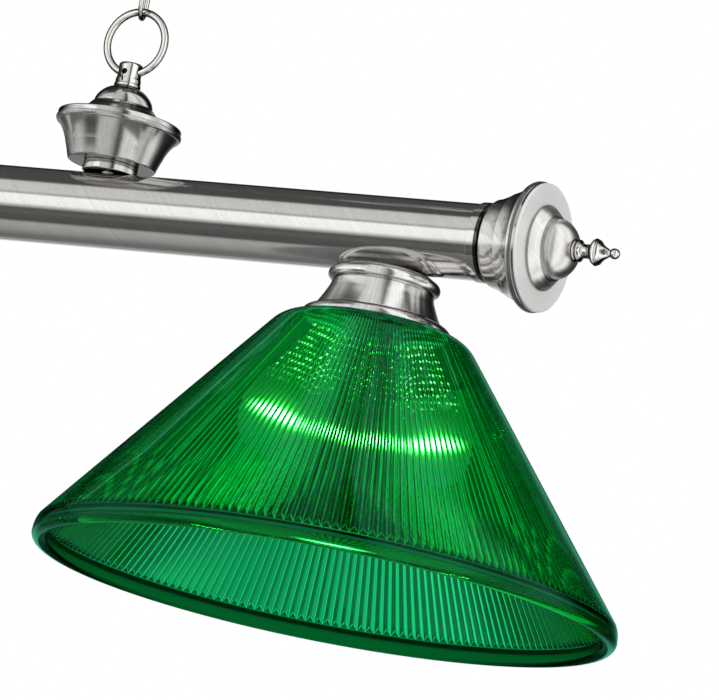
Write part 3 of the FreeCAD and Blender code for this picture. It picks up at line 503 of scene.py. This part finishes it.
def arc(start, middle, end, steps):
    """The points after start on the arc through middle to end."""
    (ax, ay), (mx, my), (bx, by) = start, middle, end
    k = 2 * (ax * (by - my) + bx * (my - ay) + mx * (ay - by))
    aa, bb, mm = ax * ax + ay * ay, bx * bx + by * by, mx * mx + my * my
    cx = (aa * (by - my) + bb * (my - ay) + mm * (ay - by)) / k
    cy = (aa * (mx - bx) + bb * (ax - mx) + mm * (bx - ax)) / k
    radius = math.hypot(ax - cx, ay - cy)
    first, half, last = (math.atan2(y - cy, x - cx) for x, y in (start, middle, end))
    circle = 2 * math.pi
    if (half - first) % circle < (last - first) % circle:
        sweep = (last - first) % circle
    else:
        sweep = -((first - last) % circle)
    return [(cx + radius * math.cos(first + sweep * i / steps),
             cy + radius * math.sin(first + sweep * i / steps)) for i in range(1, steps + 1)]


def groove(place):
    """0 at a crest, towards 1 in a valley, both rounded, at a place in the pitch."""
    d = min(place, 1 - place)               # 0 crest .. 0.5 valley
    if d < ROUND:
        v = d * d / (2 * ROUND) + ROUND / 2
    elif d > 0.5 - ROUND:
        e = 0.5 - d
        v = 0.5 - (e * e / (2 * ROUND) + ROUND / 2)
    else:
        v = d
    return (v - ROUND / 2) / (0.5 - ROUND)


def bend(angle, inset=0.0):
    """A point on the bend below the crown, inset from its outer face."""
    radius = SHOULDER - inset
    return (FLAT + radius * math.sin(angle), SHOULDER - radius * math.cos(angle))


def shade_profile():
    """Plain points from the hole over the outside and the lip, then the ribbed rows.

    A ribbed row is (point at the crest, outward direction, most of the groove it may have).
    """
    cone_top = bend(SLANT)
    run, drop = CONE_END[0] - cone_top[0], CONE_END[1] - cone_top[1]
    length = math.hypot(run, drop)
    down = (run / length, drop / length)
    outward = (down[1], -down[0])

    def inside(up):
        """The inner face, up mm above the wide end, at crest level."""
        return tuple(CONE_END[i] - outward[i] * WALL - down[i] * up for i in (0, 1))

    plain = [(HOLE, 0.0), (32.0, 0.0), (FLAT, 0.0)]
    plain += arc((FLAT, 0.0), bend(SLANT / 2), cone_top, 12)
    plain += [(cone_top[0] + run * i / 4, cone_top[1] + drop * i / 4) for i in range(1, 5)]
    plain += arc(CONE_END, (177.3, 157.4), LIP_SIDE, 4)
    plain += arc(LIP_SIDE, (176.6, 165.8), LIP_FOOT, 7)
    plain += arc(LIP_FOOT, (169.6, 166.0), LIP_INNER, 7)
    plain += arc(LIP_INNER, (169.1, 158.2), inside(-0.6), 5)

    rows = [(inside(RIB_FOOT + RAMP * i / RAMP_STEPS), outward, i / RAMP_STEPS)
            for i in range(RAMP_STEPS + 1)]
    rows += [(inside(up), outward, 1.0) for up in (0.35 * length, 0.7 * length, length)]
    for i in range(1, BEND_STEPS + 1):
        angle = SLANT * (1 - i / BEND_STEPS)
        wall = WALL + (CROWN_WALL - WALL) * i / BEND_STEPS
        rows.append((bend(angle, wall), (math.sin(angle), -math.cos(angle)), 1.0))
    rows.append(((40.0, CROWN_WALL), (0.0, -1.0), 1.0))
    rows.append(((36.5, CROWN_WALL), (0.0, -1.0), 0.0))
    return plain, rows


def bridge(start_a, count_a, start_b, count_b):
    """Faces between two rings of vertices; a fine ring has four columns to a coarse one's one."""
    if count_a == count_b:
        i = np.arange(count_a)
        j = (i + 1) % count_a
        return np.stack([start_a + i, start_a + j, start_b + j, start_b + i], 1).tolist()
    coarse_first = count_a < count_b
    coarse, count, fine, fine_count = (
        (start_a, count_a, start_b, count_b) if coarse_first
        else (start_b, count_b, start_a, count_a))
    faces = []
    for i in range(count):
        c0, c1 = coarse + i, coarse + (i + 1) % count
        f = [fine + (4 * i + q) % fine_count for q in range(5)]
        faces += [(c0, f[1], f[0]), (c0, f[2], f[1]), (c0, c1, f[2]), (c1, f[3], f[2]),
                  (c1, f[4], f[3])]
    return faces if coarse_first else [(p, r, q) for p, q, r in faces]


def shade_mesh():
    """Ribbed cone, built ring by ring, with its crown at the origin."""
    plain, rows = shade_profile()
    angles = np.array([(i + u) * 2 * math.pi / RIBS for i in range(RIBS) for u in ACROSS])
    share = np.array([groove(u) for u in ACROSS] * RIBS)
    cos, sin = np.cos(angles), np.sin(angles)

    def ring(radius, depth, step):
        c, s = cos[::step], sin[::step]
        return np.stack([radius * c, radius * s, np.broadcast_to(-depth, c.shape)], 1)

    rings = [ring(radius, depth, 4) for radius, depth in plain]
    for (radius, depth), (out_r, out_z), most in rows:
        full = RIB_DEPTH * (2 * math.pi * radius / RIBS)
        cut = np.minimum(share * full, most * full)
        rings.append(ring(radius + out_r * cut, depth + out_z * cut, 1))
    rings.append(ring(HOLE, CROWN_WALL, 4))

    counts = [len(r) for r in rings]
    starts = [sum(counts[:i]) for i in range(len(counts))]
    faces = []
    for a in range(len(rings)):
        b = (a + 1) % len(rings)
        faces += bridge(starts[a], counts[a], starts[b], counts[b])
    mesh = bpy.data.meshes.new("ribbed_shade")
    mesh.from_pydata((np.concatenate(rings) * 0.001).tolist(), [], faces)
    mesh.update()
    mesh.polygons.foreach_set("use_smooth", np.ones(len(mesh.polygons), bool))

    # sharp: lines along the ribs, the creases round the rib ends, and the crown's hole
    first_rib, last_rib = len(plain), len(plain) + len(rows) - 1
    ring_of = np.repeat(np.arange(len(rings)), counts)
    ends = np.empty(len(mesh.edges) * 2, np.int64)
    mesh.edges.foreach_get("vertices", ends)
    ring_a, ring_b = ring_of[ends.reshape(-1, 2)].T
    low, high = np.minimum(ring_a, ring_b), np.maximum(ring_a, ring_b)
    sharp = (low >= first_rib) & (high <= last_rib) & (low != high)
    for row in (first_rib, first_rib + RAMP_STEPS, last_rib - 1, last_rib, 0, len(rings) - 1):
        sharp |= (low == row) & (high == row)
    mesh.edges.foreach_set("use_edge_sharp", sharp)
    return mesh


def add_shades():
    green = acrylic()
    mesh = shade_mesh()
    mesh.materials.append(green)
    bm = bmesh.new()
    bm.from_mesh(mesh)
    bmesh.ops.recalc_face_normals(bm, faces=bm.faces)
    bm.to_mesh(mesh)
    bm.free()
    for side, place in LAMPS:
        shade = bpy.data.objects.new(side + "_ribbed_shade", mesh)
        shade.location = (place * PITCH, 0, AXIS - SHADE_DROP)
        scene.collection.objects.link(shade)
        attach(shade, "bar")
        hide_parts(side + "_shade")


# ------------------------------------------------------------------ stage
def add_floor():
    """A wide pale floor, unseen in reflections and through the shades."""
    s = FLOOR_HALF
    mesh = bpy.data.meshes.new("studio_floor")
    mesh.from_pydata([(-s, -s, 0), (s, -s, 0), (s, s, 0), (-s, s, 0)], [], [(0, 1, 2, 3)])
    floor = bpy.data.objects.new("studio_floor", mesh)
    floor.location = (0, 0, AXIS - FLOOR_DROP)
    scene.collection.objects.link(floor)
    material, t = new_material("pale_floor")
    cloud = t.noise(t.position(), scale=3.0, detail=4.0, rough=0.5)
    t.principled({
        "Base Color": t.mix(cloud, (0.84, 0.84, 0.83, 1), (0.87, 0.87, 0.86, 1)),
        "Roughness": 0.8})
    mesh.materials.append(material)
    floor.visible_glossy = False
    floor.visible_transmission = False


# The studio in reflections: (degrees, sRGB grey from 0 to 255).
STUDIO_GAIN = 1 / 0.66     # makes up for the metal's own tone
# round the X axis, 0 front, 90 up
BANDS = (
    (-180, 215), (-172, 190), (-164, 142), (-150, 142), (-140, 104), (-124, 102), (-112, 120),
    (-98, 142), (-76, 156), (-70, 150), (-64, 72), (-46, 78), (-36, 88), (-25, 76), (-17, 180),
    (-10, 238), (17, 243), (20, 165), (24, 160), (28, 194), (55, 191), (60, 186), (66, 68),
    (100, 68), (128, 64), (134, 40), (146, 20), (160, 20), (168, 50), (176, 150), (180, 215))
# round the Z axis, 0 front, 90 +X
SIDE_PANELS = (
    (-180, 60), (-172, 90), (-160, 190), (-141, 150), (-133, 90), (-128, 40), (-112, 45),
    (-106, 110), (-100, 160), (-90, 205), (-60, 225), (-46, 200), (-36, 160), (-10, 190),
    (14, 185), (26, 150), (33, 74), (40, 78), (46, 190), (50, 225), (62, 215), (78, 235),
    (92, 190), (104, 180), (116, 220), (126, 225), (136, 165), (144, 80), (150, 40), (176, 30),
    (180, 60))
# Through the shades: (place, brightness).
# towards the viewer and up, by the direction's z: bright panels round the dark overhead
PANEL = ((0.0, 1.5), (0.2, 1.4), (0.3, 0.85), (0.68, 0.85), (0.77, 1.8), (0.966, 1.8),
         (0.974, 0.2), (1.0, 0.2))
# behind, light and dark by turns round the lamp, so that each rib's two faces differ
BEHIND = ((0.0, 2.2), (0.18, 2.2), (0.27, 1.3), (0.33, 0.50), (0.40, 0.62), (0.45, 1.4),
          (0.50, 1.55), (0.55, 1.4), (0.60, 0.42), (0.67, 0.16), (0.75, 0.55), (0.82, 1.6),
          (1.0, 2.2))


def studio_stops(table):
    stops = []
    for degrees, grey in table:
        level = ((grey / 255.0 + 0.055) / 1.055) ** 2.4 * STUDIO_GAIN
        stops.append(((degrees + 180.0) / 360.0, (level, level, level * 0.985)))
    return stops


def grey_stops(table):
    return [(place, (level, level, level)) for place, level in table]


def reflected_studio(t, x, y, z, azimuth):
    """Bands round X, giving way to panels round Z towards the sides."""
    def whole_turn(angle):
        return t.plus(t.mul(angle, 1 / (2 * math.pi)), 0.5)

    height = t.math("ARCTAN2", z, t.mul(y, -1.0))
    bands = t.ramp(whole_turn(height), studio_stops(BANDS))
    panels = t.ramp(whole_turn(azimuth), studio_stops(SIDE_PANELS))
    aside = t.plus(x, 0.459)
    right = t.rise(aside, start=0.11, gain=1 / 0.10)
    left = t.rise(t.mul(aside, -1.0), start=0.14, gain=1 / 0.25)
    return t.mix(t.math("MAXIMUM", right, t.mul(left, 0.6)), bands, panels)


def seen_through(t, y, z, azimuth):
    """What the shades refract: panels in front and overhead, stripes behind, dim below."""
    panel = t.ramp(z, grey_stops(PANEL))
    turn = t.math("SINE", t.plus(azimuth, math.radians(152)))
    behind = t.ramp(t.plus(t.mul(turn, 0.5), 0.5), grey_stops(BEHIND))
    level = t.rise(z, start=-0.03, gain=1 / 0.10)
    behind = t.mix(level, (0.22, 0.22, 0.22, 1), behind)
    front = t.fall(y, end=0.1, gain=1 / 0.2)
    high = t.rise(z, start=0.6, gain=1 / 0.15)
    above = t.math("GREATER_THAN", z, 0.0)
    return t.mix(t.mul(t.math("MAXIMUM", front, high), above), behind, panel)


def add_world():
    """White where seen directly, a studio in reflections and through the shades."""
    world = bpy.data.worlds.new("studio")
    scene.world = world
    world.use_nodes = True
    world.node_tree.nodes.clear()
    t = Tree(world.node_tree)
    x, y, z = t.split(t.add("ShaderNodeTexCoord").outputs["Generated"])
    azimuth = t.math("ARCTAN2", x, t.mul(y, -1.0))
    rays = t.add("ShaderNodeLightPath").outputs
    colour = t.mix(rays["Is Transmission Ray"], reflected_studio(t, x, y, z, azimuth),
                   seen_through(t, y, z, azimuth))
    colour = t.mix(rays["Is Diffuse Ray"], colour, (0.95, 0.95, 0.95, 1))
    colour = t.mix(rays["Is Camera Ray"], colour, (1.0, 1.0, 1.0, 1.0))
    background = t.add("ShaderNodeBackground", {0: colour, 1: 1.0})
    t.add("ShaderNodeOutputWorld", {0: background.outputs[0]})


# ------------------------------------------------------------------ camera
def add_camera():
    """A long lens, below and to the right of the front, turned off the right lamp."""
    azimuth, elevation, roll = [math.radians(v) for v in (28.053, -12.04, 11.16)]
    distance = 4.5573                              # from the bar's axis over the right lamp
    aim_right, aim_up = -0.00453674, -0.01516919   # tangents of the turn away from it

    back = Vector((math.sin(azimuth) * math.cos(elevation),
                   -math.cos(azimuth) * math.cos(elevation), math.sin(elevation)))
    level_right = (-back).cross(Vector((0, 0, 1))).normalized()
    level_up = level_right.cross(-back)
    right = level_right * math.cos(roll) + level_up * math.sin(roll)
    up = -level_right * math.sin(roll) + level_up * math.cos(roll)
    view = (-back + right * aim_right + up * aim_up).normalized()
    side = view.cross(up).normalized()
    top = side.cross(view)

    lens = bpy.data.cameras.new("photo_camera")
    lens.sensor_width = 36.0
    lens.sensor_fit = "HORIZONTAL"
    lens.lens = 378.66092
    lens.clip_start, lens.clip_end = 0.1, 200.0
    camera = bpy.data.objects.new("photo_camera", lens)
    scene.collection.objects.link(camera)
    matrix = Matrix((side, top, -view)).transposed().to_4x4()
    matrix.translation = Vector((PITCH, 0, AXIS)) + back * distance
    camera.matrix_world = matrix
    scene.camera = camera


def set_render():
    view = scene.view_settings
    view.view_transform = "Standard"
    view.look = "None"
    view.exposure = 0.0
    view.gamma = 1.0
    cycles = scene.cycles
    cycles.use_denoising = True
    cycles.max_bounces = 24
    cycles.transmission_bounces = 20
    cycles.glossy_bounces = 8
    cycles.diffuse_bounces = 3
    cycles.transparent_max_bounces = 16
    cycles.caustics_reflective = True
    cycles.caustics_refractive = True
    cycles.sample_clamp_indirect = 60.0


paint_parts()
add_shades()
add_floor()
add_world()
add_camera()
set_render()
